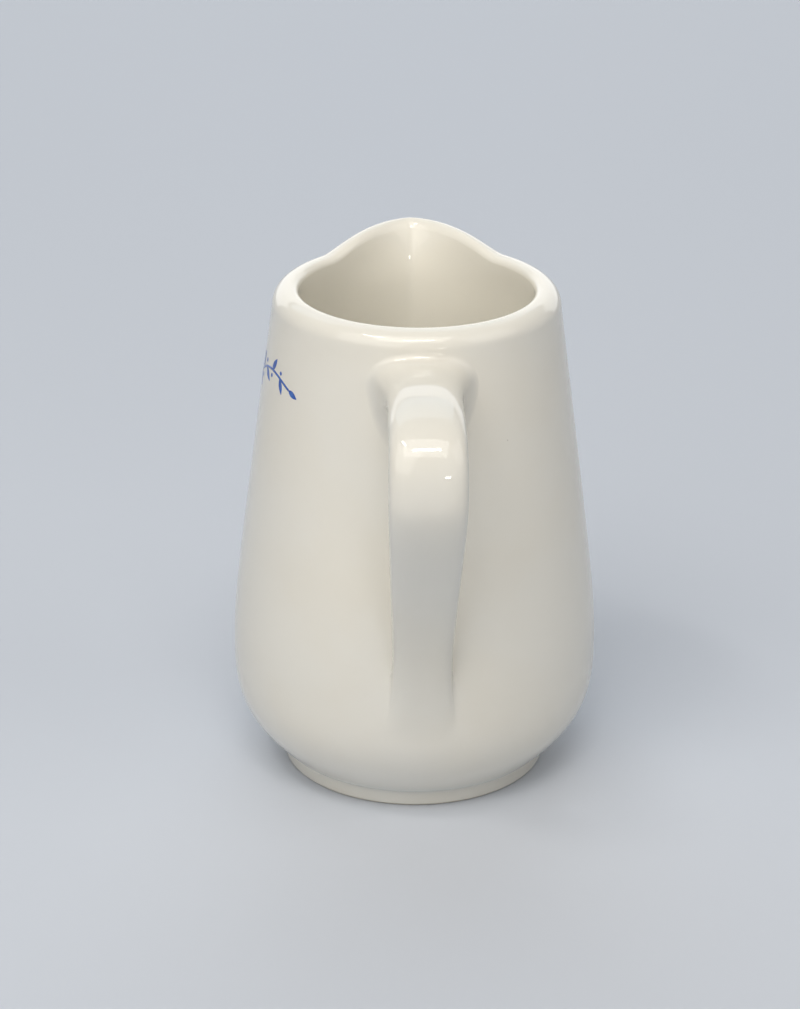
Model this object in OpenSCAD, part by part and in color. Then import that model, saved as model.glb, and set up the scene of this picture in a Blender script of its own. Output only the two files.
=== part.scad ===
// Cream jug in white glazed porcelain: a pear-shaped body with a pouring lip set into
// its front, a strap handle luted to its back with slip, and a low foot ring.
// Millimetres, +Z up. The jug stands on z = 0, the lip points to +Y and the handle to -Y.

/* [Body] */
// Height of the rim above the table, away from the pouring lip
rim_height = 100; // [92:1:112]
// Outer radius of the belly at its widest
belly_r = 36.5; // [34:0.5:40]
// Height of the widest ring of the belly
belly_z = 23.5; // [20:0.5:28]
// Reach of the belly's round above its widest ring
belly_round_up = 10.5; // [6:0.5:16]
// Reach of the belly's round below its widest ring
belly_round_down = 10; // [6:0.5:13]
// Length of the nearly straight side below the rim
side_run = 60; // [40:1:62]
// Lean of that side: radius lost for each millimetre of height
side_lean = 0.135; // [0.08:0.005:0.18]
// Outer radius of the side where the rounded rim begins
shoulder_r = 28.05; // [26:0.05:31]
// Outer radius of the flat underside that the foot ring is set on
base_r = 27.4; // [25:0.2:30]
// Run of the base's outward curve, in both radius and height
base_curve = 6.5; // [4:0.5:9]
// Wall thickness at the belly
wall = 4.5; // [3:0.25:6]
// Thickness of the floor
floor_t = 3.6; // [2.6:0.2:6]
// Radius of the flat part of the floor inside
floor_r = 13; // [8:1:18]

/* [Rim] */
// Radius of the rim's round on the outside
rim_round_out = 3.7; // [2:0.1:4]
// Radius of the rim's round on the inside
rim_round_in = 1.5; // [1.2:0.1:3]

/* [Pouring lip] */
// How far the lip stands out past the rim's own circle
lip_reach = 7.6; // [4:0.2:10]
// How far the lip rises above the rest of the rim
lip_rise = 3; // [0.4:0.2:5]
// Height at which the lip starts to swell out of the wall
lip_start_z = 45; // [38:1:60]
// Half of the angle that the lip takes up at the rim
lip_angle = 45; // [36:1:54]
// Half of the angle that the lip takes up where it starts
lip_start_angle = 8; // [5:1:14]
// How far the inside of the lip is pinched into a pouring crease, from round to sharp
lip_pinch = 0.85; // [0:0.05:1]
// How far the inside edge of the lip rolls outwards at its point
lip_roll = 1.8; // [0:0.1:2.4]
// Depth below the rim at which that roll starts
roll_depth = 9; // [6:0.5:14]

/* [Foot ring] */
// Height of the foot ring
foot_h = 3.5; // [2:0.1:5]
// Outer radius of the foot ring
foot_r = 26.5; // [23:0.1:26.8]
// Width of the foot ring
foot_w = 5; // [3.6:0.2:7]
// Radius of the rounded edges of the foot ring
foot_round = 0.6; // [0.4:0.1:1.4]

/* [Handle] */
// Height of the middle of the arm where it leaves the wall
arm_z = 91; // [86:0.5:93]
// Distance from the jug's axis to the middle of the strap at its bend
bend_reach = 56.75; // [50:0.25:62]
// Height of the bend's outermost point
bend_z = 79; // [72:0.5:82]
// Height of the strap's lower end
tail_z = 18; // [15:0.5:24]
// How far the strap's face has sunk into the wall at its lower end
tail_sink = 0.6; // [0.2:0.1:1.5]
// Width of the strap along the arm
arm_w = 13.6; // [11:0.1:17]
// Width of the strap at the bend
bend_w = 14.4; // [11:0.1:17]
// Width of the strap near its lower end
tail_w = 11.1; // [9:0.1:14]
// Thickness of the arm
arm_t = 7.6; // [6:0.1:9]
// Thickness of the strap from the bend down
strap_t = 6.5; // [5:0.1:8]
// How much each side of the arm spreads where it meets the wall
arm_flare = 4.2; // [2:0.2:6]
// How much the top of the arm rises where it meets the wall
arm_rise = 1.2; // [0.4:0.2:1.6]
// How much the underside of the arm drops where it meets the wall
arm_drop = 9.5; // [3:0.5:11]
// Length of arm over which its root spreads
flare_run = 12; // [6:0.5:16]
// How much each side of the strap's lower end spreads
tail_flare = 2.8; // [1:0.2:5]

/* [Slip joints] */
// Thickness of the slip that bonds each end of the handle to the wall
slip_t = 0.5; // [0.4:0.1:1]

/* [Hidden] */
$fn = 96;
glaze = [0.93, 0.92, 0.88];
glaze_lip = [0.90, 0.89, 0.84];
glaze_handle = [0.86, 0.87, 0.88];
bisque = [0.80, 0.76, 0.68];
slip = [0.74, 0.72, 0.66];

// Steps along each curve of the profile, and round the rim
side_steps = 24;
belly_steps = 12;
round_steps = 6;
// Columns across the pouring lip, and how sharply it gathers to its point
lip_columns = 28;
lip_gather = 1.3;
lip_growth = 3;
// How sharply the crease inside the lip gathers, and the softness of its bottom
crease_gather = 1.4;
crease_soft = 0.09;
// Rings along the handle above and below its bend, points round each, and their squareness
arm_rings = 20;
strap_rings = 28;
ring_points = 24;
strap_square = 2.8;
root_square = 2;
// Shares of the strap at which it has tapered and starts to spread, and how late it tapers
taper_to = 0.8;
tail_from = 0.78;
taper_power = 1.8;
// How late the arm's root spreads, and how far it runs on inside the wall
spread_power = 2.5;
root_depth = 4.6;
// Fullness of the arm's curve, its lift over the root, and its fall before the bend
arm_full = 0.7;
arm_lift = 1.5;
arm_fall = 0.5;
// Length of the strap's curve below the bend, and where it turns to run down beside the wall
bend_run = 9;
tail_stand = 4.5;
tail_turn = 0.53;
// Fullness of the inside curve at the floor and at the belly
floor_full = 0.7;
belly_full = 0.35;
// How far the cutting shapes run on past what they cut
overcut = 8;

rim_start_z = rim_height - rim_round_out;
throat_r = shoulder_r - rim_round_out - rim_round_in;
throat_z = rim_height - rim_round_in;
floor_z = foot_h + floor_t;
inner_belly_r = belly_r - wall;
throat_run = side_run * throat_z / rim_start_z;

function mix(a, b, f) = a + (b - a) * f;
function smooth(f) = let (g = min(1, max(0, f))) g * g * (3 - 2 * g);
function bezier(p, t) =
    pow(1 - t, 3) * p[0] + 3 * pow(1 - t, 2) * t * p[1] + 3 * (1 - t) * t * t * p[2] + pow(t, 3) * p[3];
function bezier_slope(p, t) =
    3 * pow(1 - t, 2) * (p[1] - p[0]) + 6 * (1 - t) * t * (p[2] - p[1]) + 3 * t * t * (p[3] - p[2]);
function unit(v) = v / norm(v);

// Profile curves as [radius, height]: outside from base to belly and belly to rim, inside likewise
base_bend = [[base_r, foot_h], [base_r + base_curve, foot_h + base_curve],
    [belly_r, belly_z - belly_round_down], [belly_r, belly_z]];
side_bend = [[belly_r, belly_z], [belly_r, belly_z + belly_round_up],
    [shoulder_r + side_lean * side_run, rim_start_z - side_run], [shoulder_r, rim_start_z]];
inner_side_bend = [[inner_belly_r, belly_z], [inner_belly_r, belly_z + belly_round_up],
    [throat_r + side_lean * throat_run, throat_z - throat_run], [throat_r, throat_z]];
inner_base_bend = [[floor_r, floor_z], [mix(floor_r, inner_belly_r, floor_full), floor_z],
    [inner_belly_r, mix(floor_z, belly_z, belly_full)], [inner_belly_r, belly_z]];

// Where a rising curve reaches a height, found by halving
function reach_t(p, z, low = 0, high = 1, n = 26) =
    let (m = (low + high) / 2)
    n == 0 ? m : bezier(p, m)[1] < z ? reach_t(p, z, m, high, n - 1) : reach_t(p, z, low, m, n - 1);
function wall_r(z) =
    z < belly_z ? bezier(base_bend, reach_t(base_bend, z))[0] : bezier(side_bend, reach_t(side_bend, z))[0];

function curve(p, steps, from = 0) = [for (i = [from:steps]) bezier(p, i / steps)];
function backward(list) = [for (i = [len(list) - 1:-1:0]) list[i]];

// The round of the rim, over the top from the outside to the throat
rim_curve = concat(
    [for (i = [1:round_steps]) let (a = 90 * i / round_steps)
        [shoulder_r - rim_round_out * (1 - cos(a)), rim_start_z + rim_round_out * sin(a)]],
    [for (i = [1:round_steps - 1]) let (a = 90 * i / round_steps)
        [throat_r + rim_round_in * (1 - sin(a)), throat_z + rim_round_in * cos(a)]]);

// Outer profile moved outwards by a clearance, from the base to the rim
function outer_profile(grow) = concat(
    [for (i = [0:belly_steps]) outer_point(base_bend, i / belly_steps, grow)],
    [for (i = [1:side_steps]) outer_point(side_bend, i / side_steps, grow)]);
function outer_point(p, t, grow) =
    let (d = unit(bezier_slope(p, t))) bezier(p, t) + grow * [d[1], -d[0]];

// The jug's outside as one solid, carried straight up past the rim, to cut what seats on it
module wall_solid(grow) {
    profile = outer_profile(grow);
    last = profile[len(profile) - 1];
    top = rim_height + overcut;
    rotate_extrude()
        polygon(concat([[0, profile[0][1]]], profile, [[last[0], top], [0, top]]));
}

module body() {
    color(glaze)
        difference() {
            rotate_extrude()
                polygon(concat([[0, foot_h]], outer_profile(0), rim_curve,
                    backward(curve(inner_side_bend, side_steps)),
                    backward(curve(inner_base_bend, belly_steps)), [[0, floor_z]]));
            lip_opening();
        }
}

// Share of the way from the lip's start to the rim, and half of the lip's angle there
function lip_share(z) = min(1, max(0, (z - lip_start_z) / (rim_height - lip_start_z)));
function lip_half(z) = mix(lip_start_angle, lip_angle, lip_share(z));

// The opening in the front of the body that the lip is set into
module lip_opening() {
    levels = [for (i = [0:side_steps]) mix(lip_start_z, rim_height, i / side_steps), rim_height + overcut];
    near_r = throat_r - overcut;
    far_r = (belly_r + overcut) / cos(lip_angle);
    points = [for (z = levels) each [for (c = [[near_r, -1], [far_r, -1], [far_r, 1], [near_r, 1]])
        [c[0] * sin(c[1] * lip_half(z)), c[0] * cos(lip_half(z)), z]]];
    top = 4 * (len(levels) - 1);
    sides = [for (k = [0:len(levels) - 2]) each [for (c = [0:3])
        let (a = 4 * k + c, b = 4 * k + (c + 1) % 4)
        each [[a, b, b + 4], [a, b + 4, a + 4]]]];
    polyhedron(points, concat(sides, [[3, 2, 1, 0], [top, top + 1, top + 2, top + 3]]));
}

// How far the lip is drawn out across its width: in a round bow outside, in a pinched crease inside
function lip_bow(u) = pow((1 + cos(180 * u)) / 2, lip_gather);
function crease_side(u) = sqrt(u * u + crease_soft * crease_soft) - crease_soft;
function lip_crease(u) = pow(1 - crease_side(u) / crease_side(1), crease_gather);

// A point of the wall's profile swung round to a share of the lip's half angle and drawn out
function lip_turn(z) = pow(max(0, 1 - (rim_height - z) / roll_depth), 2);
function lip_point(p, u, inside) =
    let (angle = u * lip_half(p[1]), swell = pow(lip_share(p[1]), lip_growth),
        drawn = lip_reach * swell * mix(lip_bow(u), lip_crease(u), lip_pinch * inside),
        rolled = lip_roll * inside * lip_turn(p[1]) * lip_bow(u))
    [p[0] * sin(angle), p[0] * cos(angle) + drawn + rolled, p[1] + lip_rise * swell * (1 - smooth(u * u))];

module pouring_lip() {
    outer_from = reach_t(side_bend, lip_start_z);
    inner_from = reach_t(inner_side_bend, lip_start_z);
    outer = [for (i = [0:side_steps]) bezier(side_bend, mix(outer_from, 1, i / side_steps))];
    inner = [for (i = [side_steps:-1:0]) bezier(inner_side_bend, mix(inner_from, 1, i / side_steps))];
    section = concat(outer, rim_curve, inner);
    count = len(section);
    over_from = len(outer) - 1;
    over_steps = len(rim_curve) + 1;
    points = [for (i = [0:lip_columns]) each [for (k = [0:count - 1])
        lip_point(section[k], 2 * i / lip_columns - 1, smooth((k - over_from) / over_steps))]];
    skin = [for (i = [0:lip_columns - 1]) each [for (k = [0:count - 1])
        let (a = i * count + k, b = i * count + (k + 1) % count)
        each [[a, b, b + count], [a, b + count, a + count]]]];
    end = lip_columns * count;
    edges = [for (k = [0:floor(count / 2) - 1]) let (j = count - 1 - k)
        each [[k + 1, k, j], [k + 1, j, j - 1],
            [end + k, end + k + 1, end + j], [end + k + 1, end + j - 1, end + j]]];
    whole = [for (f = edges) if (f[0] != f[1] && f[1] != f[2] && f[0] != f[2]) f];
    color(glaze_lip)
        polyhedron(points, concat(skin, whole));
}

module foot_ring() {
    inner = foot_r - foot_w;
    color(bisque)
        rotate_extrude()
            polygon(concat(
                [[foot_r, foot_h], [inner, foot_h]],
                [for (i = [0:round_steps]) let (a = 90 * i / round_steps)
                    [inner + foot_round * (1 - cos(a)), foot_round * (1 - sin(a))]],
                [for (i = [0:round_steps]) let (a = 90 * i / round_steps)
                    [foot_r - foot_round * (1 - sin(a)), foot_round * (1 - cos(a))]]));
}

// The middle line of the strap, as [distance from the axis, height]
arm_line = [[wall_r(arm_z) - root_depth, arm_z],
    [mix(wall_r(arm_z), bend_reach, arm_full), arm_z + arm_lift],
    [bend_reach, arm_z - arm_fall], [bend_reach, bend_z]];
tail_r = wall_r(tail_z) - tail_sink - strap_t / 2;
strap_line = [[bend_reach, bend_z], [bend_reach, bend_z - bend_run],
    [tail_r + tail_stand, mix(tail_z, bend_z, tail_turn)], [tail_r, tail_z]];

// How far the arm's root has spread, from none where it starts to all of it at the wall
function spread(share) = pow(min(1, max(0, share)), spread_power);

// One ring round the strap: its middle, the way along it, half width, the two half depths, squareness
function strap_ring(p, d, half_w, up, down, square) = [for (k = [0:ring_points - 1])
    let (a = 360 * k / ring_points, c = cos(a), s = sin(a), e = 2 / square,
        x = half_w * sign(c) * pow(abs(c), e), n = (s > 0 ? up : down) * sign(s) * pow(abs(s), e))
    [x, -(p[0] - n * d[1]), p[1] + n * d[0]]];

function arm_ring(t) =
    let (p = bezier(arm_line, t), f = spread(1 - (p[0] - wall_r(arm_z)) / flare_run),
        depth = mix(arm_t, strap_t, t) / 2)
    strap_ring(p, unit(bezier_slope(arm_line, t)), mix(arm_w, bend_w, smooth(t)) / 2 + arm_flare * f,
        depth + arm_rise * f, depth + arm_drop * f, mix(strap_square, root_square, f));
function tail_ring(t) =
    let (p = bezier(strap_line, t), taper = pow(min(1, t / taper_to), taper_power),
        f = smooth((t - tail_from) / (1 - tail_from)), depth = strap_t / 2)
    strap_ring(p, unit(bezier_slope(strap_line, t)), mix(bend_w, tail_w, taper) / 2 + tail_flare * f,
        depth, depth, mix(strap_square, root_square, f));

module strap_solid() {
    rings = concat([for (i = [0:arm_rings]) arm_ring(i / arm_rings)],
        [for (i = [1:strap_rings]) tail_ring(i / strap_rings)]);
    last = len(rings) - 1;
    skin = [for (i = [0:last - 1]) each [for (k = [0:ring_points - 1])
        let (a = i * ring_points + k, b = i * ring_points + (k + 1) % ring_points)
        each [[a, b, b + ring_points], [a, b + ring_points, a + ring_points]]]];
    ends = [[for (k = [ring_points - 1:-1:0]) k], [for (k = [0:ring_points - 1]) last * ring_points + k]];
    polyhedron([for (r = rings) each r], concat(skin, ends));
}

module handle() {
    color(glaze_handle)
        difference() {
            strap_solid();
            wall_solid(slip_t);
        }
}

// The bed of slip between the wall and one end of the strap, within a band of heights
module slip_joint(low, high) {
    color(slip)
        intersection() {
            difference() {
                strap_solid();
                wall_solid(0);
            }
            wall_solid(slip_t);
            translate([-belly_r, -2 * belly_r, low])
                cube([2 * belly_r, 2 * belly_r, high - low]);
        }
}

joint_split_z = (arm_z + tail_z) / 2;
module upper_slip_joint() {
    slip_joint(joint_split_z, rim_height);
}
module lower_slip_joint() {
    slip_joint(0, joint_split_z);
}

body();
pouring_lip();
foot_ring();
handle();
upper_slip_joint();
lower_slip_joint();
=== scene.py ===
"""Looks of the cream jug: one white glaze over body, lip, foot and handle, and a small blue sprig.

The jug stands on z = 0 with its pouring lip towards +Y and its handle towards -Y. Sizes are in metres.
"""
import math
import bmesh
import bpy
import numpy as np
from mathutils import Matrix, Vector


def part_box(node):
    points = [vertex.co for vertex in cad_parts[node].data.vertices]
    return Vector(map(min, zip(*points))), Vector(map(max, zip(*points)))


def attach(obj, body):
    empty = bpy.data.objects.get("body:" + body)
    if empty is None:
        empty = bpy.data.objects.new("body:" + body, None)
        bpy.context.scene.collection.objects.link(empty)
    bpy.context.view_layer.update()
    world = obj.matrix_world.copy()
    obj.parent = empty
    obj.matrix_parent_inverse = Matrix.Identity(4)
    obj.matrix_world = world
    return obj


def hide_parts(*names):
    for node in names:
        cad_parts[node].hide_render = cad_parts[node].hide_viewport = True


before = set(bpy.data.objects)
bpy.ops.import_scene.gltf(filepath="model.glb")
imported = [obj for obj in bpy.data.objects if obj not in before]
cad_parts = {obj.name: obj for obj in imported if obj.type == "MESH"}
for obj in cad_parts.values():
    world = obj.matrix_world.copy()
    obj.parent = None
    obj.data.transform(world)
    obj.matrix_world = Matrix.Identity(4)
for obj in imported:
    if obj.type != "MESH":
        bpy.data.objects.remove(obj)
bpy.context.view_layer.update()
MM = 0.001

# Sizes read from the frame
body_low, body_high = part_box("body")
lip_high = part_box("pouring_lip")[1]
foot_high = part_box("foot_ring")[1]
handle_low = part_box("handle")[0]
rim_height = body_high.z
foot_height = body_low.z
belly_radius = body_high.x
foot_radius = foot_high.x
lip_rise = lip_high.z - rim_height

# Profile of the body, as in the part's own sizes
belly_height = 23.5 * MM
belly_round_up = 10.5 * MM
belly_round_down = 10 * MM
side_run = 60 * MM
side_lean = 0.135
shoulder_radius = 28.05 * MM
base_radius = 27.4 * MM
base_curve = 6.5 * MM
wall = 4.5 * MM
floor_thickness = 3.6 * MM
floor_radius = 13 * MM
floor_full = 0.7
belly_full = 0.35
rim_round_out = 3.7 * MM
rim_round_in = 1.5 * MM
base_edge_round = 0.7 * MM

# Pouring lip
lip_reach = lip_high.y - shoulder_radius
lip_start_height = 45 * MM
lip_angle = math.radians(45)
lip_start_angle = math.radians(8)
lip_gather = 1.3
lip_growth = 3
lip_pinch = 0.85
lip_roll = 1.8 * MM
roll_depth = 9 * MM
crease_gather = 1.4
crease_soft = 0.06

# Steps round a turned piece, how much closer they stand at the lip, and the gap that is welded shut
round_steps = 240
front_crowding = 0.6
weld_gap = 0.002 * MM

# Foot ring
foot_width = 5 * MM
foot_round = 0.6 * MM
foot_groove = 0.5 * MM
foot_hidden = 0.3 * MM

# Handle
arm_height = 91 * MM
arm_full = 0.7
arm_lift = 1.5 * MM
arm_fall = 0.5 * MM
root_depth = 4.6 * MM
root_drop = 1.9 * MM
bend_height = 79 * MM
bend_run = 9 * MM
tail_height = 18 * MM
tail_sink = 0.6 * MM
tail_stand = 4.5 * MM
tail_turn = 0.53
arm_width = 13.6 * MM
bend_width = 14.4 * MM
tail_width = 11.1 * MM
arm_depth = 7.6 * MM
strap_depth = 6.5 * MM
strap_square = 2.8
taper_to = 0.8
taper_power = 1.8
bend_reach = -handle_low.y - strap_depth / 2

# Sizes that follow from these
rim_start = rim_height - rim_round_out
throat_radius = shoulder_radius - rim_round_out - rim_round_in
throat_height = rim_height - rim_round_in
floor_height = foot_height + floor_thickness
inner_radius = belly_radius - wall


def mix(a, b, share):
    """The value at a share of the way from a to b."""
    return a + (b - a) * share


def smooth(share):
    """A share from 0 to 1 with soft ends."""
    s = np.clip(share, 0, 1)
    return s * s * (3 - 2 * s)


def bezier(points, share):
    """Points of a cubic curve at each share of its run."""
    s = np.atleast_1d(np.asarray(share, float))[:, None]
    a, b, c, d = (np.asarray(p, float) for p in points)
    return (1 - s) ** 3 * a + 3 * (1 - s) ** 2 * s * b + 3 * (1 - s) * s ** 2 * c + s ** 3 * d


def bezier_slope(points, share):
    """The slope of a cubic curve at each share of its run."""
    s = np.atleast_1d(np.asarray(share, float))[:, None]
    a, b, c, d = (np.asarray(p, float) for p in points)
    return 3 * (1 - s) ** 2 * (b - a) + 6 * (1 - s) * s * (c - b) + 3 * s ** 2 * (d - c)


def arc(centre, radius, start, end, steps):
    """Points of an arc in [radius, height], from one angle to another in degrees."""
    angles = np.radians(np.linspace(start, end, steps))
    return np.column_stack([centre[0] + radius * np.cos(angles), centre[1] + radius * np.sin(angles)])


# The body's profile curves in [radius, height]
base_bend = [[base_radius, foot_height], [base_radius + base_curve, foot_height + base_curve],
             [belly_radius, belly_height - belly_round_down], [belly_radius, belly_height]]
side_bend = [[belly_radius, belly_height], [belly_radius, belly_height + belly_round_up],
             [shoulder_radius + side_lean * side_run, rim_start - side_run], [shoulder_radius, rim_start]]
throat_run = side_run * throat_height / rim_start
inner_side_bend = [[inner_radius, belly_height], [inner_radius, belly_height + belly_round_up],
                   [throat_radius + side_lean * throat_run, throat_height - throat_run],
                   [throat_radius, throat_height]]
inner_base_bend = [[floor_radius, floor_height],
                   [mix(floor_radius, inner_radius, floor_full), floor_height],
                   [inner_radius, mix(floor_height, belly_height, belly_full)],
                   [inner_radius, belly_height]]

curve_steps = np.linspace(0, 1, 240)
outside = np.vstack([bezier(base_bend, curve_steps), bezier(side_bend, curve_steps[1:])])
rim_middle = (shoulder_radius - rim_round_out, rim_start)
wall_line = np.vstack([outside, arc(rim_middle, rim_round_out, 2, 80, 40)])


def wall_radius(height):
    """How far the outside is from the axis at a height, up to near the top of the rim."""
    return np.interp(height, wall_line[:, 1], wall_line[:, 0])


def wall_point(x, height):
    """The point of the back wall behind a place seen from the handle's side."""
    radius = wall_radius(height)
    return np.column_stack([x, -np.sqrt(radius ** 2 - x ** 2), height])


def wall_normal(points):
    """The wall's outward direction at points on it."""
    step = 0.05 * MM
    lean = (wall_radius(points[:, 2] + step) - wall_radius(points[:, 2] - step)) / (2 * step)
    radius = np.hypot(points[:, 0], points[:, 1])
    normal = np.column_stack([points[:, 0] / radius, points[:, 1] / radius, -lean])
    return normal / np.linalg.norm(normal, axis=1)[:, None]


class Wire:
    """A node's output that sums can be done with: each operator adds a Math node."""

    def __init__(self, board, socket):
        self.board = board
        self.socket = socket

    def math(self, operation, *others):
        sockets = {i: value for i, value in enumerate((self,) + others)}
        return self.board.add("ShaderNodeMath", {"operation": operation}, sockets).out(0)

    def __add__(self, other):
        return self.math("ADD", other)

    def __sub__(self, other):
        return self.math("SUBTRACT", other)

    def __mul__(self, other):
        return self.math("MULTIPLY", other)

    def __truediv__(self, other):
        return self.math("DIVIDE", other)

    def __pow__(self, other):
        return self.math("POWER", other)

    def __radd__(self, other):
        return self + other

    def __rsub__(self, other):
        return self.board.add("ShaderNodeMath", {"operation": "SUBTRACT"}, {0: other, 1: self}).out(0)

    def __rmul__(self, other):
        return self * other

    def above(self, edge):
        return self.math("GREATER_THAN", edge)

    def clamped(self):
        return self.math("MINIMUM", 1.0).math("MAXIMUM", 0.0)

    def ramp(self, low, high):
        """0 at low and 1 at high, with soft ends. Low may be the greater of the two."""
        share = ((self - low) / (high - low)).clamped()
        return share * share * (3.0 - share * 2.0)


class Placed:
    """A node on a board."""

    def __init__(self, board, node):
        self.board = board
        self.node = node

    def out(self, name=0):
        return Wire(self.board, self.node.outputs[name])


class Board:
    """A node tree being built. add() places a node of any type: its settings first, then its sockets."""

    def __init__(self, tree):
        self.tree = tree

    def add(self, kind, settings=None, sockets=None):
        node = self.tree.nodes.new(kind)
        for name, value in (settings or {}).items():
            setattr(node, name, value)
        for name, value in (sockets or {}).items():
            self.plug(node.inputs[name], value)
        return Placed(self, node)

    def plug(self, socket, value):
        if isinstance(value, Placed):
            value = value.out()
        if isinstance(value, Wire):
            self.tree.links.new(value.socket, socket)
        else:
            socket.default_value = value


def new_material(name):
    """A material with a bare Principled shader, its board and that shader."""
    material = bpy.data.materials.new(name)
    material.use_nodes = True
    material.node_tree.nodes.clear()
    board = Board(material.node_tree)
    shader = board.add("ShaderNodeBsdfPrincipled")
    board.add("ShaderNodeOutputMaterial", None, {"Surface": shader})
    return material, board, shader


def set_sockets(board, shader, values):
    """Sets or wires several inputs of a shader."""
    for name, value in values.items():
        board.plug(shader.node.inputs[name], value)


def mixed(board, share, first, second):
    """One colour turning into another by a share."""
    node = board.add("ShaderNodeMix", {"data_type": "RGBA"}, {0: share, 6: first, 7: second})
    return node.out(2)


def parts_of(board, vector):
    """A vector's X, Y and Z."""
    return board.add("ShaderNodeSeparateXYZ", None, {0: vector})


def combined(board, x=0.0, y=0.0, z=0.0):
    """A vector from its X, Y and Z."""
    return board.add("ShaderNodeCombineXYZ", None, {0: x, 1: y, 2: z})


def scaled(board, vector, factor):
    """A vector made longer or shorter."""
    return board.add("ShaderNodeVectorMath", {"operation": "SCALE"}, {0: vector, "Scale": factor})


def noise(board, place, scale, detail, roughness=0.5):
    """A cloudy value from 0 to 1, with so many clouds to a metre."""
    node = board.add("ShaderNodeTexNoise", None, {
        "Vector": place, "Scale": scale, "Detail": detail, "Roughness": roughness})
    return node.out("Fac")


# Finishes: colours, shares of them, gloss and depths
glaze_white = (0.80, 0.775, 0.705, 1)
glaze_cream = (0.785, 0.75, 0.665, 1)
glaze_pool = (0.64, 0.67, 0.66, 1)
# Painted light: a lighter, creamier glaze colour for the inside of the mouth, standing in for light in its
# shade
painted_light_inside = (0.91, 0.876, 0.784, 1)
speck_grey = (0.30, 0.27, 0.23, 1)
bisque_cream = (0.70, 0.65, 0.55, 1)
bisque_shade = (0.58, 0.53, 0.44, 1)
print_blue = (0.02, 0.085, 0.40, 1)
print_wash = (0.05, 0.16, 0.52, 1)
pool_share = 0.55
speck_share = 0.55
glaze_index = 1.52
glaze_roughness = 0.018
glaze_dulling = 0.03
print_roughness = 0.06
print_dulling = 0.05
bisque_roughness = 0.8
glaze_sway = 0.06 * MM
peel_share = 0.012
pinhole_depth = 0.5
body_pool = 3 * MM
foot_pool = 1.2 * MM
bare_from = 0.42 * MM
bare_to = 0.28 * MM
bare_ragged = 0.4 * MM

# How many clouds, cells or grains of each finish lie along a metre
cream_clouds = 38.0
speck_cells = 210.0
sway_clouds = 75.0
peel_clouds = 650.0
gloss_clouds = 120.0
ragged_clouds = 700.0
clay_grains = 1600.0
wash_clouds = 900.0

# Where the values of those clouds and cells begin to tell and where they tell in full
cream_edges = (0.35, 0.75)
dull_edges = (0.45, 0.8)
clay_edges = (0.4, 0.7)
wash_edges = (0.35, 0.75)
speck_edges = (0.045, 0.025)
pinhole_edges = (0.05, 0.02)

# The share of cells that have no speck, and of those that have no pinhole
speck_rarity = 0.965
pinhole_rarity = 0.975


def glaze_coat(board, shader, pooled, inside=0.0):
    """A glossy, slightly uneven glaze. Pooled says where it is thick; inside says where painted light goes:
    a lighter, creamier colour that brightens the shaded inside of the mouth.
    """
    place = board.add("ShaderNodeTexCoord").out("Object")
    cream = noise(board, place, cream_clouds, detail=3.0).ramp(*cream_edges)
    colour = mixed(board, cream, glaze_white, glaze_cream)
    # Painted light: the inside of the mouth turns to a lighter cream that brightens its shade
    colour = mixed(board, inside, colour, painted_light_inside)
    colour = mixed(board, pooled * pool_share, colour, glaze_pool)
    cells = board.add("ShaderNodeTexVoronoi", {"feature": "F1"}, {
        "Vector": place, "Scale": speck_cells, "Randomness": 1.0})
    rare = board.add("ShaderNodeTexWhiteNoise", None, {"Vector": cells.out("Position")}).out("Value")
    speck = cells.out("Distance").ramp(*speck_edges) * rare.above(speck_rarity)
    pinhole = cells.out("Distance").ramp(*pinhole_edges) * (1.0 - rare).above(pinhole_rarity)
    colour = mixed(board, speck * speck_share, colour, speck_grey)
    sway = noise(board, place, sway_clouds, detail=1.0, roughness=0.4)
    peel = noise(board, place, peel_clouds, detail=1.0)
    bump = board.add("ShaderNodeBump", None, {
        "Strength": 1.0, "Distance": glaze_sway,
        "Height": sway + peel * peel_share - pinhole * pinhole_depth})
    dull = noise(board, place, gloss_clouds, detail=4.0).ramp(*dull_edges)
    set_sockets(board, shader, {
        "Base Color": colour,
        "Roughness": glaze_roughness + dull * glaze_dulling,
        "IOR": glaze_index,
        "Normal": bump.out("Normal"),
    })


def make_body_glaze():
    """The glaze of the body, the lip and the handle, thick just over the foot ring, with painted light
    inside: a lighter cream that brightens the shaded inside of the mouth.
    """
    material, board, shader = new_material("white_glaze")
    height = parts_of(board, board.add("ShaderNodeTexCoord").out("Object")).out("Z")
    # The inside share also carries the painted light: a lighter colour inside the mouth
    inside = board.add("ShaderNodeAttribute", {"attribute_name": "inside"}).out("Fac")
    glaze_coat(board, shader, height.ramp(foot_height + body_pool, foot_height), inside)
    return material


def make_foot_glaze():
    """Glaze on the sides of the foot ring, and bare, slightly gritty clay on the face that it stands on."""
    material, board, shader = new_material("foot_glaze")
    place = board.add("ShaderNodeTexCoord").out("Object")
    height = parts_of(board, place).out("Z")
    glaze_coat(board, shader, height.ramp(foot_height - foot_pool, foot_height))
    ragged = noise(board, place, ragged_clouds, detail=3.0) - 0.5
    bare = (height + ragged * bare_ragged).ramp(bare_from, bare_to)
    clay = noise(board, place, clay_grains, detail=4.0).ramp(*clay_edges)
    socket = shader.node.inputs["Base Color"]
    glazed = Wire(board, socket.links[0].from_socket)
    board.plug(socket, mixed(board, bare, glazed, mixed(board, clay, bisque_cream, bisque_shade)))
    socket = shader.node.inputs["Roughness"]
    glossy = Wire(board, socket.links[0].from_socket)
    board.plug(socket, glossy * (1.0 - bare) + bare * bisque_roughness)
    return material


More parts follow.
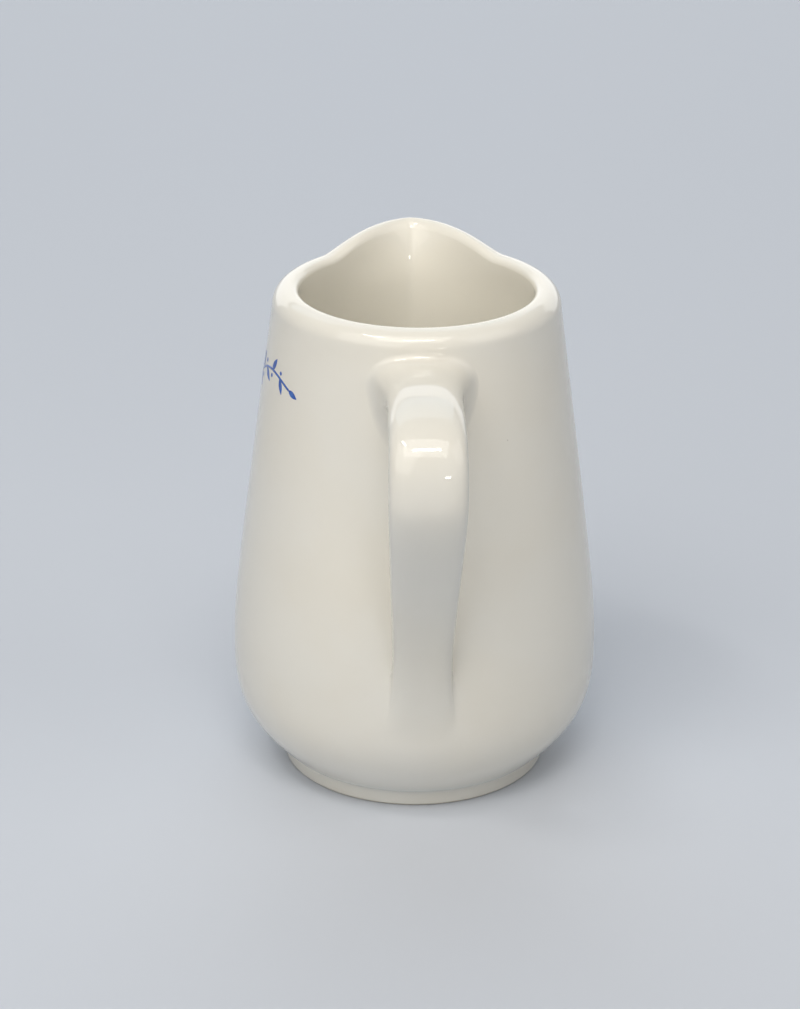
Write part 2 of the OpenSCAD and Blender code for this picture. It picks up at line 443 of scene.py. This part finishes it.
def make_print_blue():
    """Blue print under the glaze, a little lighter where it is thin."""
    material, board, shader = new_material("print_blue")
    place = board.add("ShaderNodeTexCoord").out("Object")
    wash = noise(board, place, wash_clouds, detail=3.0)
    set_sockets(board, shader, {
        "Base Color": mixed(board, wash.ramp(*wash_edges), print_blue, print_wash),
        "Roughness": print_roughness + wash * print_dulling,
        "IOR": glaze_index,
    })
    return material


def new_object(name, points, edges=(), faces=()):
    """An object in the scene, with a mesh of these points, edges and faces."""
    mesh = bpy.data.meshes.new(name)
    mesh.from_pydata([tuple(p) for p in points], [tuple(e) for e in edges], [tuple(f) for f in faces])
    mesh.update()
    obj = bpy.data.objects.new(name, mesh)
    bpy.context.scene.collection.objects.link(obj)
    return obj


def new_tree(name, inputs):
    """A geometry tree with named inputs. Gives its board, a wire for each input and its output node."""
    tree = bpy.data.node_groups.new(name, "GeometryNodeTree")
    tree.interface.new_socket(name="Geometry", in_out="INPUT", socket_type="NodeSocketGeometry")
    for label, kind in inputs.items():
        tree.interface.new_socket(name=label, in_out="INPUT", socket_type="NodeSocket" + kind)
    tree.interface.new_socket(name="Geometry", in_out="OUTPUT", socket_type="NodeSocketGeometry")
    board = Board(tree)
    source = board.add("NodeGroupInput")
    wires = {label: source.out(label) for label in ["Geometry", *inputs]}
    return board, wires, board.add("NodeGroupOutput")


def sampled(board, geometry, index, kind, field):
    """A value of one point of a geometry, by its number."""
    node = board.add("GeometryNodeSampleIndex", {"data_type": kind, "domain": "POINT"}, {
        "Geometry": geometry, "Value": field, "Index": index})
    return node.out("Value")


def grown(obj, tree, values):
    """Runs a geometry tree on an object and leaves the result as its plain mesh."""
    modifier = obj.modifiers.new(tree.name, "NODES")
    modifier.node_group = tree
    labels = {item.name: item.identifier for item in tree.interface.items_tree if item.in_out == "INPUT"}
    for label, value in values.items():
        modifier[labels[label]] = value
    evaluated = obj.evaluated_get(bpy.context.evaluated_depsgraph_get())
    mesh = bpy.data.meshes.new_from_object(evaluated)
    obj.modifiers.remove(modifier)
    obj.data = mesh
    shape = bmesh.new()
    shape.from_mesh(mesh)
    bmesh.ops.recalc_face_normals(shape, faces=shape.faces)
    shape.to_mesh(mesh)
    shape.free()
    return obj


def turned_form_tree():
    """Turns a profile about Z, and draws its front out and up into a lip, pinched to a crease inside."""
    board, wire, output = new_tree("turned_form", {
        "Round Steps": "Int", "Profile Steps": "Int", "Front Crowding": "Float", "Rim Height": "Float",
        "Lip Reach": "Float", "Lip Rise": "Float", "Lip Start": "Float", "Lip Angle": "Float",
        "Lip Start Angle": "Float", "Lip Gather": "Float", "Lip Growth": "Float", "Lip Pinch": "Float",
        "Lip Roll": "Float", "Roll Depth": "Float", "Crease Gather": "Float", "Crease Soft": "Float",
        "Material": "Material"})
    grid = board.add("GeometryNodeMeshGrid", None, {
        "Size X": 1.0, "Size Y": 1.0,
        "Vertices X": wire["Round Steps"] + 1.0, "Vertices Y": wire["Profile Steps"] + 1.0})
    position = board.add("GeometryNodeInputPosition")
    place = parts_of(board, position)
    row = ((place.out("Y") + 0.5) * wire["Profile Steps"]).math("ROUND")
    spot = parts_of(board, sampled(board, wire["Geometry"], row, "FLOAT_VECTOR", position))
    radius = spot.out("X")
    height = spot.out("Z")
    mark = board.add("GeometryNodeInputNamedAttribute", {"data_type": "FLOAT"}, {"Name": "inside"})
    inside = sampled(board, wire["Geometry"], row, "FLOAT", mark)
    spread = place.out("X") * math.tau
    turn = spread - spread.math("SINE") * wire["Front Crowding"]
    share = ((height - wire["Lip Start"]) / (wire["Rim Height"] - wire["Lip Start"])).clamped()
    half_angle = wire["Lip Start Angle"] + (wire["Lip Angle"] - wire["Lip Start Angle"]) * share
    across = (turn.math("ABSOLUTE") / half_angle).clamped()
    swell = share ** wire["Lip Growth"]
    bow = ((across * math.pi).math("COSINE") * 0.5 + 0.5) ** wire["Lip Gather"]
    soft = wire["Crease Soft"]
    side = ((across * across + soft * soft) ** 0.5 - soft) / ((soft * soft + 1.0) ** 0.5 - soft)
    crease = (1.0 - side).clamped() ** wire["Crease Gather"]
    drawn = (bow + (crease - bow) * inside * wire["Lip Pinch"]) * swell * wire["Lip Reach"]
    near_rim = ((height - wire["Rim Height"]) / wire["Roll Depth"] + 1.0).clamped()
    rolled = near_rim ** 2.0 * inside * bow * wire["Lip Roll"]
    lifted = (1.0 - (across * across).ramp(0.0, 1.0)) * swell * wire["Lip Rise"]
    moved = combined(board, radius * turn.math("SINE"),
                     radius * turn.math("COSINE") + drawn + rolled, height + lifted)
    marked = board.add("GeometryNodeStoreNamedAttribute", {"data_type": "FLOAT", "domain": "POINT"}, {
        "Geometry": grid.out("Mesh"), "Name": "inside", "Value": inside})
    form = board.add("GeometryNodeSetPosition", None, {"Geometry": marked, "Position": moved})
    closed = board.add("GeometryNodeMergeByDistance", None, {"Geometry": form, "Distance": weld_gap})
    shaded = board.add("GeometryNodeSetShadeSmooth", None, {"Geometry": closed})
    plain = board.add("GeometryNodeRealizeInstances", None, {"Geometry": shaded})
    finished = board.add("GeometryNodeSetMaterial", None, {"Geometry": plain, "Material": wire["Material"]})
    board.plug(output.node.inputs[0], finished)
    return board.tree


def turned(name, profile, inside, tree, material, lip):
    """A piece turned from its profile. Inside says how far over the rim each of its points lies."""
    steps = len(profile) - 1
    obj = new_object(name, [(r, 0, z) for r, z in profile], [(i, i + 1) for i in range(steps)])
    mark = obj.data.attributes.new("inside", "FLOAT", "POINT")
    mark.data.foreach_set("value", np.asarray(inside, np.float32))
    return grown(obj, tree, {
        "Round Steps": round_steps, "Profile Steps": steps, "Front Crowding": front_crowding,
        "Rim Height": rim_height, "Lip Start": lip_start_height, "Lip Angle": lip_angle,
        "Lip Start Angle": lip_start_angle, "Lip Gather": lip_gather, "Lip Growth": lip_growth,
        "Lip Reach": lip_reach if lip else 0.0, "Lip Rise": lip_rise if lip else 0.0,
        "Lip Roll": lip_roll if lip else 0.0, "Roll Depth": roll_depth, "Lip Pinch": lip_pinch,
        "Crease Gather": crease_gather, "Crease Soft": crease_soft, "Material": material})


def make_pot(tree, material):
    """Body and pouring lip under one glaze, from the middle of the underside to the middle of the floor."""
    underside = np.array([[0, foot_height], [base_radius * 0.5, foot_height]])
    edge = arc([base_radius - base_edge_round, foot_height + base_edge_round], base_edge_round, -90, -45, 6)
    outer = outside[outside[:, 1] > edge[-1, 1]]
    outer = outer[outer[:, 0] > edge[-1, 0]][::3]
    rim_out = arc(rim_middle, rim_round_out, 0, 90, 22)[1:]
    rim_in = arc([throat_radius + rim_round_in, throat_height], rim_round_in, 90, 180, 16)[1:-1]
    inside = np.vstack([bezier(inner_side_bend, curve_steps[::-3]),
                        bezier(inner_base_bend, curve_steps[::-6])[1:]])
    middle = np.array([[0, floor_height]])
    rim_count = len(rim_out) + len(rim_in)
    before = len(underside) + len(edge) + len(outer)
    after = len(inside) + len(middle)
    over = smooth(np.linspace(0, 1, rim_count + 2)[1:-1])
    shares = np.concatenate([np.zeros(before), over, np.ones(after)])
    profile = np.vstack([underside, edge, outer, rim_out, rim_in, inside, middle])
    return turned("glazed_pot", profile, shares, tree, material, True)


def make_foot(tree, material):
    """The foot ring: a glazed groove under the belly, soft edges and a flat face to stand on."""
    inner = foot_radius - foot_width
    hidden = foot_height + foot_hidden
    profile = np.vstack([
        [[foot_radius + foot_groove, hidden]],
        arc([foot_radius + foot_groove, foot_height - foot_groove], foot_groove, 90, 180, 6),
        arc([foot_radius - foot_round, foot_round], foot_round, 0, -90, 9),
        arc([inner + foot_round, foot_round], foot_round, 270, 180, 9),
        arc([inner - foot_groove, foot_height - foot_groove], foot_groove, 0, 90, 6),
        [[inner - foot_groove, hidden], [foot_radius + foot_groove, hidden]]])
    return turned("glazed_foot", profile, np.zeros(len(profile)), tree, material, False)


# The middle line of the strap, as distance from the axis and height
arm_root = float(wall_radius(arm_height))
tail_radius = float(wall_radius(tail_height)) - tail_sink - strap_depth / 2
arm_line = [[arm_root - root_depth, arm_height - root_drop],
            [mix(arm_root, bend_reach, arm_full), arm_height + arm_lift],
            [bend_reach, arm_height - arm_fall], [bend_reach, bend_height]]
strap_line = [[bend_reach, bend_height], [bend_reach, bend_height - bend_run],
              [tail_radius + tail_stand, mix(tail_height, bend_height, tail_turn)],
              [tail_radius, tail_height]]

# Rings of the handle, where the strap leaves its upper root and meets its lower one, and their outlines
ring_points = 96
arm_free = 0.3
strap_free = 0.72
upper_outline = {"top": 96.8 * MM, "middle": 87 * MM, "bottom": 74 * MM, "half_width": 10.4 * MM,
                 "square": 2.2, "pear": -0.22}
lower_outline = {"top": 40 * MM, "middle": 24 * MM, "bottom": 13.5 * MM, "half_width": 7.9 * MM,
                 "square": 2.8, "pear": 0.14}
ring_counts = {"upper_root": 28, "arm": 44, "strap": 60, "lower_root": 44}

# How hard the roots' curves are pulled, how far they run, and how deep in the wall they are closed
root_pull = 1.66
top_wall_pull = 3.6
top_arm_pull = 2
tail_pull = 1.3
least_inward = 1.5 * MM
least_run = 5 * MM
fade_share = 0.35
fade_range = (4 * MM, 12 * MM)
cap_sink = 4 * MM

# How far the lower root is lifted off the wall, how that falls off and how soon it starts
ease_height = 0.36 * MM
ease_fall = 1.6
ease_start = 4


def power_round(angles, square):
    """The two parts of a rounded square's outline."""
    c, s = np.cos(angles), np.sin(angles)
    return np.sign(c) * np.abs(c) ** (2 / square), np.sign(s) * np.abs(s) ** (2 / square)


def strap_rings(line, shares, widths, depths):
    """Rings across the strap, with the way along it at each."""
    angles = np.linspace(0, math.tau, ring_points, endpoint=False)
    middles = bezier(line, shares)
    slopes = bezier_slope(line, shares)
    slopes /= np.linalg.norm(slopes, axis=1)[:, None]
    c, s = power_round(angles, strap_square)
    rings = []
    for middle, slope, width, depth in zip(middles, slopes, widths, depths):
        off = depth / 2 * s
        rings.append(np.column_stack([
            width / 2 * c, off * slope[1] - middle[0], middle[1] + off * slope[0]]))
    ways = np.column_stack([np.zeros(len(slopes)), -slopes[:, 0], slopes[:, 1]])
    return rings, ways


def root_outline(size, up):
    """Where one end of the strap spreads on the wall, and the way out of that outline along the wall."""
    angles = np.linspace(0, math.tau, ring_points, endpoint=False)
    c, s = power_round(angles, size["square"])
    reach = np.where(up * s > 0, size["top"] - size["middle"], size["middle"] - size["bottom"])
    heights = size["middle"] + up * reach * s
    points = wall_point(size["half_width"] * c * (1 - size["pear"] * up * s), heights)
    normals = wall_normal(points)
    along = np.roll(points, -1, axis=0) - np.roll(points, 1, axis=0)
    out = np.cross(along, normals) * up
    return points, out / np.linalg.norm(out, axis=1)[:, None]


def joined(first, first_way, second, second_way, steps):
    """Rings on smooth curves from one ring to another, with the given slopes at their ends."""
    rings = []
    for s in (1 - np.cos(np.linspace(0, math.pi, steps))) / 2:
        rings.append((2 * s ** 3 - 3 * s ** 2 + 1) * first + (s ** 3 - 2 * s ** 2 + s) * first_way
                     + (3 * s ** 2 - 2 * s ** 3) * second + (s ** 3 - s ** 2) * second_way)
    return rings


def eased(rings):
    """Rings lifted softly off the wall where they would dip into it, and flush with it at the last one."""
    lifted = []
    for share, ring in zip(np.linspace(0, 1, len(rings)), rings):
        radius = np.hypot(ring[:, 0], ring[:, 1])
        off = radius - wall_radius(ring[:, 2])
        soft = ease_height * (1 - share) ** ease_fall * smooth(share * ease_start)
        clear = (off + np.sqrt(off ** 2 + soft ** 2)) / 2
        grow = (radius - off + np.where(soft > 0, clear, off)) / radius
        lifted.append(ring * np.column_stack([grow, grow, np.ones(len(ring))]))
    return lifted


def upper_root(arm, way):
    """Rings from the upper outline on the wall to the arm's first ring, pulled harder over the top."""
    outline, out = root_outline(upper_outline, 1)
    gap = arm[0] - outline
    along = (gap @ way)[:, None] * way
    inward = ((gap - along) * out).sum(1).clip(None, -least_inward)[:, None] * out
    above = out[:, 2:].clip(0, 1) ** 2
    return joined(outline, mix(root_pull, top_wall_pull, above) * inward,
                  arm[0], mix(root_pull, top_arm_pull, above) * along, ring_counts["upper_root"])


def lower_root(strap, way):
    """Rings from the strap's last ring to the lower outline, where they run out flush with the wall."""
    outline, out = root_outline(lower_outline, -1)
    run = ((outline - strap[-1]) @ way).clip(least_run, None)[:, None]
    fade = (run * fade_share).clip(*fade_range)
    ahead = strap[-1] - strap[-2]
    ahead /= np.linalg.norm(ahead, axis=1)[:, None]
    return eased(joined(strap[-1], tail_pull * run * ahead, outline, fade * out, ring_counts["lower_root"]))


def skinned(name, rings):
    """A smooth piece over rings in a row, closed inside the wall, with a sharp edge round each end."""
    caps = [[ring.mean(0) + (0, cap_sink, 0)] for ring in (rings[0], rings[-1])]
    points = np.vstack(rings + caps)
    last = (len(rings) - 1) * ring_points
    faces = []
    for start in range(0, last, ring_points):
        for k in range(ring_points):
            a, b = start + k, start + (k + 1) % ring_points
            faces.append((a, b, b + ring_points, a + ring_points))
    for k in range(ring_points):
        after = (k + 1) % ring_points
        faces.append((after, k, len(points) - 2))
        faces.append((last + k, last + after, len(points) - 1))
    obj = new_object(name, points, (), faces)
    shape = bmesh.new()
    shape.from_mesh(obj.data)
    bmesh.ops.recalc_face_normals(shape, faces=shape.faces)
    for face in shape.faces:
        face.smooth = True
    for edge in shape.edges:
        ends = [v.index for v in edge.verts]
        on_wall = max(ends) < ring_points or last <= min(ends) <= max(ends) < last + ring_points
        edge.smooth = not on_wall
    shape.to_mesh(obj.data)
    shape.free()
    return obj


def make_handle(material):
    """The strap with its two ends spread into the wall, each in smooth curves that meet the wall flush."""
    arm_shares = np.linspace(arm_free, 1, ring_counts["arm"])
    arm, arm_ways = strap_rings(arm_line, arm_shares, mix(arm_width, bend_width, smooth(arm_shares)),
                                mix(arm_depth, strap_depth, arm_shares))
    strap_shares = np.linspace(0, strap_free, ring_counts["strap"])[1:]
    taper = np.minimum(1, strap_shares / taper_to) ** taper_power
    strap, strap_ways = strap_rings(strap_line, strap_shares, mix(bend_width, tail_width, taper),
                                    np.full(len(strap_shares), strap_depth))
    rings = upper_root(arm, arm_ways[0])[:-1] + arm + strap + lower_root(strap, strap_ways[-1])[1:]
    obj = skinned("glazed_handle", rings)
    obj.data.materials.append(material)
    return obj


# The printed sprig on the jug's left side, laid out flat
sprig_height = 83 * MM
sprig_length = 34 * MM
sprig_rise = 3 * MM
sprig_sway = 2.4 * MM
sprig_leaves = 9
leaf_length = 4.7 * MM
leaf_width = 2 * MM
leaf_lean = math.radians(52)
berry_radius = 0.6 * MM
berry_offset = 1.6 * MM
stem_width = 0.5 * MM
stem_points = 61
leaf_grid = (15, 5)
leaf_blunt = 0.8
leaf_broad = 1.15
leaf_narrowing = 0.45
sprig_dwindle = 0.42
berry_corners = 20

# How many of the pot's radii away its points are cast from, and how it lies on the glaze
cast_start = -3.0
print_lift = 0.01 * MM
print_thickness = 0.03 * MM
print_weld_gap = 0.001 * MM


def together(board, pieces):
    """Several geometries as one."""
    joint = board.add("GeometryNodeJoinGeometry")
    for piece in pieces:
        board.plug(joint.node.inputs[0], piece)
    return joint


def sprig_tree():
    """Sets leaves and berries along a stem's path, and wraps the flat sprig onto the pot's left side."""
    board, wire, output = new_tree("sprig", {
        "Pot": "Object", "Leaf Count": "Int", "Leaf Length": "Float", "Leaf Width": "Float",
        "Leaf Lean": "Float", "Berry Radius": "Float", "Berry Offset": "Float", "Stem Width": "Float",
        "Wrap Radius": "Float", "Middle Height": "Float", "Lift": "Float", "Thickness": "Float",
        "Material": "Material"})
    path = board.add("GeometryNodeMeshToCurve", None, {"Mesh": wire["Geometry"]})
    path = board.add("GeometryNodeSetCurveNormal", {"mode": "Z_UP"}, {"Curve": path})
    across = combined(board, wire["Stem Width"])
    blade = board.add("GeometryNodeCurvePrimitiveLine", {"mode": "POINTS"}, {
        "Start": scaled(board, across, -0.5), "End": scaled(board, across, 0.5)})
    stem = board.add("GeometryNodeCurveToMesh", None, {"Curve": path, "Profile Curve": blade})

    # One leaf, from its stalk along X, with its sides bowed
    sheet = board.add("GeometryNodeMeshGrid", None, {
        "Size X": 1.0, "Size Y": 1.0, "Vertices X": leaf_grid[0], "Vertices Y": leaf_grid[1]})
    position = board.add("GeometryNodeInputPosition")
    flat = parts_of(board, position)
    along = flat.out("X") + 0.5
    bow = (along * math.pi).math("SINE").clamped() ** leaf_blunt
    width = bow * (leaf_broad - along * leaf_narrowing) * wire["Leaf Width"]
    leaf = board.add("GeometryNodeSetPosition", None, {
        "Geometry": sheet.out("Mesh"),
        "Position": combined(board, along * wire["Leaf Length"], flat.out("Y") * width)})

    # Leaves on alternate sides, the last one straight on, and a berry across from each of the others
    count = wire["Leaf Count"]
    spots = board.add("GeometryNodeCurveToPoints", {"mode": "COUNT"}, {"Curve": path, "Count": count + 1.0})
    number = board.add("GeometryNodeInputIndex").out()
    side = (1.0 - number.math("MODULO", 2.0) * 2.0) * (1.0 - number.above(count - 1.5))
    way = parts_of(board, spots.out("Tangent"))
    heading = way.out("Y").math("ARCTAN2", way.out("X"))
    size = 1.0 - number / count * sprig_dwindle
    started = board.add("GeometryNodeSeparateGeometry", {"domain": "POINT"}, {
        "Geometry": spots.out("Points"), "Selection": number.above(0.5)})
    leaves = board.add("GeometryNodeInstanceOnPoints", None, {
        "Points": started.out("Selection"), "Instance": leaf, "Scale": size,
        "Rotation": combined(board, z=heading + side * wire["Leaf Lean"])})
    disc = board.add("GeometryNodeMeshCircle", {"fill_type": "TRIANGLE_FAN"}, {
        "Vertices": berry_corners, "Radius": wire["Berry Radius"]})
    off = wire["Berry Offset"] * side * size * -1.0
    beside = board.add("GeometryNodeSetPosition", None, {
        "Geometry": started.out("Selection"),
        "Offset": combined(board, heading.math("SINE") * off * -1.0, heading.math("COSINE") * off)})
    berries = board.add("GeometryNodeInstanceOnPoints", None, {
        "Points": beside, "Selection": side.math("ABSOLUTE").above(0.5), "Instance": disc, "Scale": size})
    flat_sprig = board.add("GeometryNodeRealizeInstances", None, {
        "Geometry": together(board, (stem, leaves, berries))})

    # Wrapped by casting each point at the pot from outside
    laid = parts_of(board, position)
    turn = laid.out("X") / wire["Wrap Radius"]
    inward = combined(board, turn.math("COSINE"), turn.math("SINE"))
    start = wire["Wrap Radius"] * cast_start
    outside_point = combined(board, turn.math("COSINE") * start, turn.math("SINE") * start,
                             laid.out("Y") + wire["Middle Height"])
    pot = board.add("GeometryNodeObjectInfo", None, {"Object": wire["Pot"]})
    hit = board.add("GeometryNodeRaycast", None, {
        "Target Geometry": pot.out("Geometry"), "Source Position": outside_point, "Ray Direction": inward,
        "Ray Length": 1.0})
    wrapped = board.add("GeometryNodeSetPosition", None, {
        "Geometry": flat_sprig, "Position": hit.out("Hit Position"),
        "Offset": scaled(board, hit.out("Hit Normal"), wire["Lift"])})
    back = board.add("GeometryNodeFlipFaces", None, {"Mesh": wrapped})
    front = board.add("GeometryNodeExtrudeMesh", {"mode": "FACES"}, {
        "Mesh": wrapped, "Offset Scale": wire["Thickness"], "Individual": False})
    closed = board.add("GeometryNodeMergeByDistance", None, {
        "Geometry": together(board, (back, front)), "Distance": print_weld_gap})
    plain = board.add("GeometryNodeRealizeInstances", None, {"Geometry": closed})
    board.plug(output.node.inputs[0], board.add("GeometryNodeSetMaterial", None, {
        "Geometry": plain, "Material": wire["Material"]}))
    return board.tree


def make_sprig(pot, material):
    """A blue sprig printed on the left side, along a stem that rises and sways."""
    shares = np.linspace(-0.5, 0.5, stem_points)
    rise = sprig_rise * shares + sprig_sway * np.sin(math.tau * shares)
    path = np.column_stack([sprig_length * shares, rise, np.zeros(stem_points)])
    obj = new_object("printed_sprig", path, [(i, i + 1) for i in range(stem_points - 1)])
    return grown(obj, sprig_tree(), {
        "Pot": pot, "Leaf Count": sprig_leaves, "Leaf Length": leaf_length, "Leaf Width": leaf_width,
        "Leaf Lean": leaf_lean, "Berry Radius": berry_radius, "Berry Offset": berry_offset,
        "Stem Width": stem_width, "Wrap Radius": float(wall_radius(sprig_height)),
        "Middle Height": sprig_height, "Lift": print_lift, "Thickness": print_thickness,
        "Material": material})


def dress():
    """Makes every piece and sets it on the frame."""
    form = turned_form_tree()
    glaze = make_body_glaze()
    pot = make_pot(form, glaze)
    foot = make_foot(form, make_foot_glaze())
    handle = make_handle(glaze)
    sprig = make_sprig(pot, make_print_blue())
    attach(sprig, "root")
    covers = ((pot, "white_glaze", ("body", "pouring_lip")),
              (foot, "foot_glaze", ("foot_ring",)),
              (handle, "white_glaze", ("handle", "upper_slip_joint", "lower_slip_joint")))
    for piece, slot, nodes in covers:
        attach(piece, "root")
        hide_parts(*nodes)


# Viewing angle: the camera's place seen from the jug, its heading, its tilt and its slight roll
camera_distance = 0.55348
camera_height = 0.29439
camera_azimuth = math.radians(2.4)
camera_heading = math.radians(2.084)
camera_pitch = math.radians(23.508)
camera_roll = math.radians(0.29)
camera_lens = 107.99
camera_sensor = 36


def place_camera():
    """The camera in the photograph's place, turned to look as it did."""
    right = Vector((math.cos(camera_heading), -math.sin(camera_heading), 0))
    ahead = Vector((math.sin(camera_heading) * math.cos(camera_pitch),
                    math.cos(camera_heading) * math.cos(camera_pitch), -math.sin(camera_pitch)))
    up = right.cross(ahead)
    turn = Matrix((right, up, -ahead)).transposed() @ Matrix.Rotation(camera_roll, 3, "Z")
    data = bpy.data.cameras.new("camera")
    data.lens = camera_lens
    data.sensor_width = camera_sensor
    camera = bpy.data.objects.new("camera", data)
    bpy.context.scene.collection.objects.link(camera)
    place = Vector((-camera_distance * math.sin(camera_azimuth),
                    -camera_distance * math.cos(camera_azimuth), camera_height))
    camera.matrix_world = Matrix.Translation(place) @ turn.to_4x4()
    bpy.context.scene.camera = camera


# Studio: colours, the table and where it fades into the backdrop
table_colour = (0.58, 0.612, 0.67, 1)
backdrop_colour = (0.53, 0.56, 0.605, 1)
fill_colour = (0.76, 0.82, 0.94, 1)
fill_strength = 0.09
table_half = 3.0
table_roughness = 0.6
table_fade = (0.3, 1.1)

# Lamps: each one's name, place, aim, size, power in watts and colour
warm = (1, 0.965, 0.905)
cool = (0.70, 0.85, 1)
neutral = (1, 0.985, 0.955)
lamps = (
    ("ceiling", (-0.1, -0.72, 1.38), (0, 0, 0.09), (1.2, 0.9), 8.4, warm),
    ("key_panel", (-0.676, -0.806, 0.854), (0, 0, 0.09), (1.3, 1.1), 6.8, warm),
    ("right_panel", (0.965, -0.45, 0.836), (0, 0, 0.09), (0.9, 0.9), 2.5, warm),
    ("back_panel", (-0.12, 0.97, 1.13), (0, 0, 0.09), (1.5, 0.8), 3.4, cool),
    ("rear_panel", (0.1, 1.2, 0.40), (0, 0, 0.06), (2.4, 0.7), 5.8, neutral),
    ("front_strip", (0, -0.80, 1.30), (0, 0, 0.1), (0.46, 0.14), 2.8, warm),
    ("left_strip", (-0.55, -0.36, 1.30), (0, 0, 0.1), (0.34, 0.1), 1.6, warm),
    ("low_strip", (0.347, -1.133, 0.278), (0, 0, 0.09), (0.19, 0.06), 0.6, warm),
)


def softbox(name, place, aim, size, watts, colour):
    """A lamp with a flat, even face that the camera doesn't see."""
    data = bpy.data.lights.new(name, "AREA")
    data.shape = "RECTANGLE"
    data.size, data.size_y = size
    data.energy = watts
    data.color = colour
    light = bpy.data.objects.new(name, data)
    bpy.context.scene.collection.objects.link(light)
    light.location = place
    light.visible_camera = False
    light.rotation_euler = (Vector(aim) - Vector(place)).to_track_quat("-Z", "Y").to_euler()


def seen_plainly(board):
    """1 for rays from the camera and those that gloss sends on, 0 for the light that falls on things."""
    path = board.add("ShaderNodeLightPath")
    seen = path.out("Is Camera Ray") + path.out("Is Glossy Ray") + path.out("Is Transmission Ray")
    return seen.clamped()


def make_table():
    """A plain, pale, slightly cool table that fades into the backdrop's colour."""
    corners = [(x * table_half, y * table_half, 0) for x, y in ((-1, -1), (1, -1), (1, 1), (-1, 1))]
    floor = new_object("table", corners, (), [(0, 1, 2, 3)])
    material, board, shader = new_material("table_top")
    set_sockets(board, shader, {"Base Color": table_colour, "Roughness": table_roughness})
    place = parts_of(board, board.add("ShaderNodeTexCoord").out("Object"))
    reach = (place.out("X") ** 2.0 + place.out("Y") ** 2.0) ** 0.5
    backdrop = board.add("ShaderNodeEmission", None, {"Color": backdrop_colour, "Strength": 1.0})
    fading = board.add("ShaderNodeMixShader", None, {
        0: reach.ramp(*table_fade) * seen_plainly(board), 1: shader, 2: backdrop})
    board.plug(material.node_tree.nodes["Material Output"].inputs["Surface"], fading)
    floor.data.materials.append(material)


def make_room():
    """A backdrop of one colour all round, which sends out only a weak, cool fill."""
    world = bpy.data.worlds.new("studio")
    world.use_nodes = True
    world.node_tree.nodes.clear()
    board = Board(world.node_tree)
    fill = board.add("ShaderNodeBackground", None, {"Color": fill_colour, "Strength": fill_strength})
    backdrop = board.add("ShaderNodeBackground", None, {"Color": backdrop_colour, "Strength": 1.0})
    room = board.add("ShaderNodeMixShader", None, {0: seen_plainly(board), 1: fill, 2: backdrop})
    board.add("ShaderNodeOutputWorld", None, {"Surface": room})
    bpy.context.scene.world = world


place_camera()
make_table()
make_room()
for lamp in lamps:
    softbox(*lamp)
dress()
bpy.context.scene.view_settings.view_transform = "Standard"
